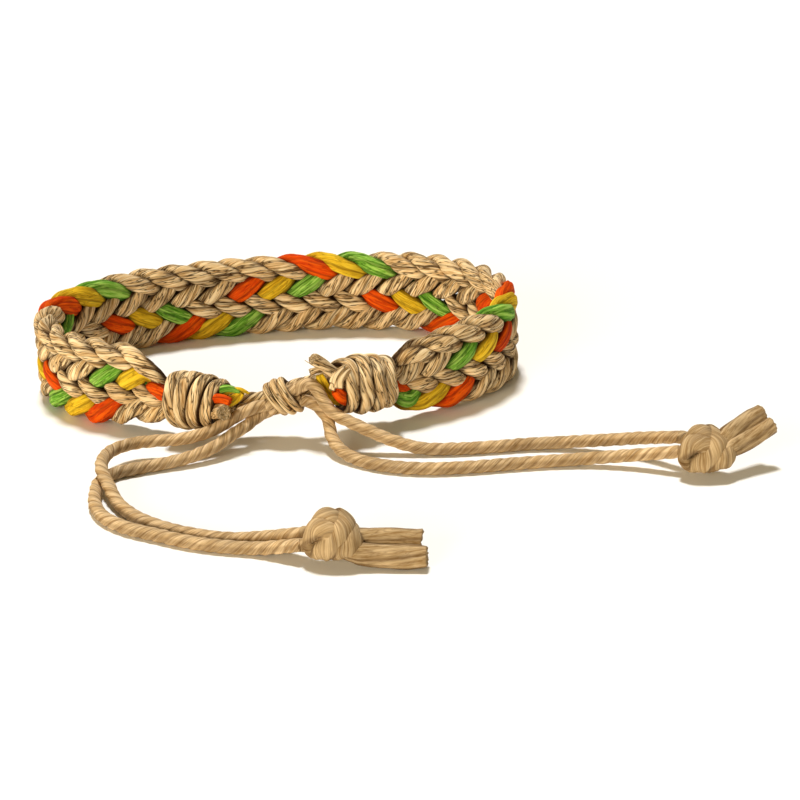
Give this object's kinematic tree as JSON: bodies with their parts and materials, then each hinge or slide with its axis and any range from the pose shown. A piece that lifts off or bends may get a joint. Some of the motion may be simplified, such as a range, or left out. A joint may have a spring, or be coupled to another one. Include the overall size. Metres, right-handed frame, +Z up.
{
  "type": "braided cord bracelet",
  "caption": "Flat braided cord bracelet with coloured strands, whipped ends, a sliding knot closure and knotted cord tails, standing on its edge.",
  "frame": {"origin": "bottom centre of the box around the band and its closure, without the loose tails and their end knots", "axes": "+Z up from the edge that the bracelet stands on, +X across the loop to the right as seen from the closure, +Y from the closure to the back of the band"},
  "size_m": [0.0919, 0.0833, 0.0118],
  "materials": {
    "tan_cord": "twisted natural fibre, light tan with darker plies, waxed and dry to the touch",
    "orange_cord": "dyed fibre strand, bright orange, faintly waxed",
    "yellow_cord": "dyed fibre strand, golden yellow, faintly waxed",
    "green_cord": "dyed fibre strand, leaf green, faintly waxed"
  },
  "bodies": {
    "root": {"braided_band": "tan_cord", "left_whipping": "tan_cord", "right_whipping": "tan_cord", "left_green_end": "green_cord", "left_orange_end": "orange_cord", "left_tan_end": "tan_cord", "left_yellow_end": "yellow_cord", "right_tan_end": "tan_cord", "right_orange_end": "orange_cord", "right_yellow_end": "yellow_cord", "right_tan_stub": "tan_cord", "left_upper_bridge": "tan_cord", "left_lower_bridge": "tan_cord", "right_upper_bridge": "tan_cord", "right_lower_bridge": "tan_cord", "sliding_knot": "tan_cord", "left_back_tail": "tan_cord", "left_front_tail": "tan_cord", "right_back_tail": "tan_cord", "right_front_tail": "tan_cord", "left_end_knot": "tan_cord", "right_end_knot": "tan_cord"}
  },
  "joints": []
}
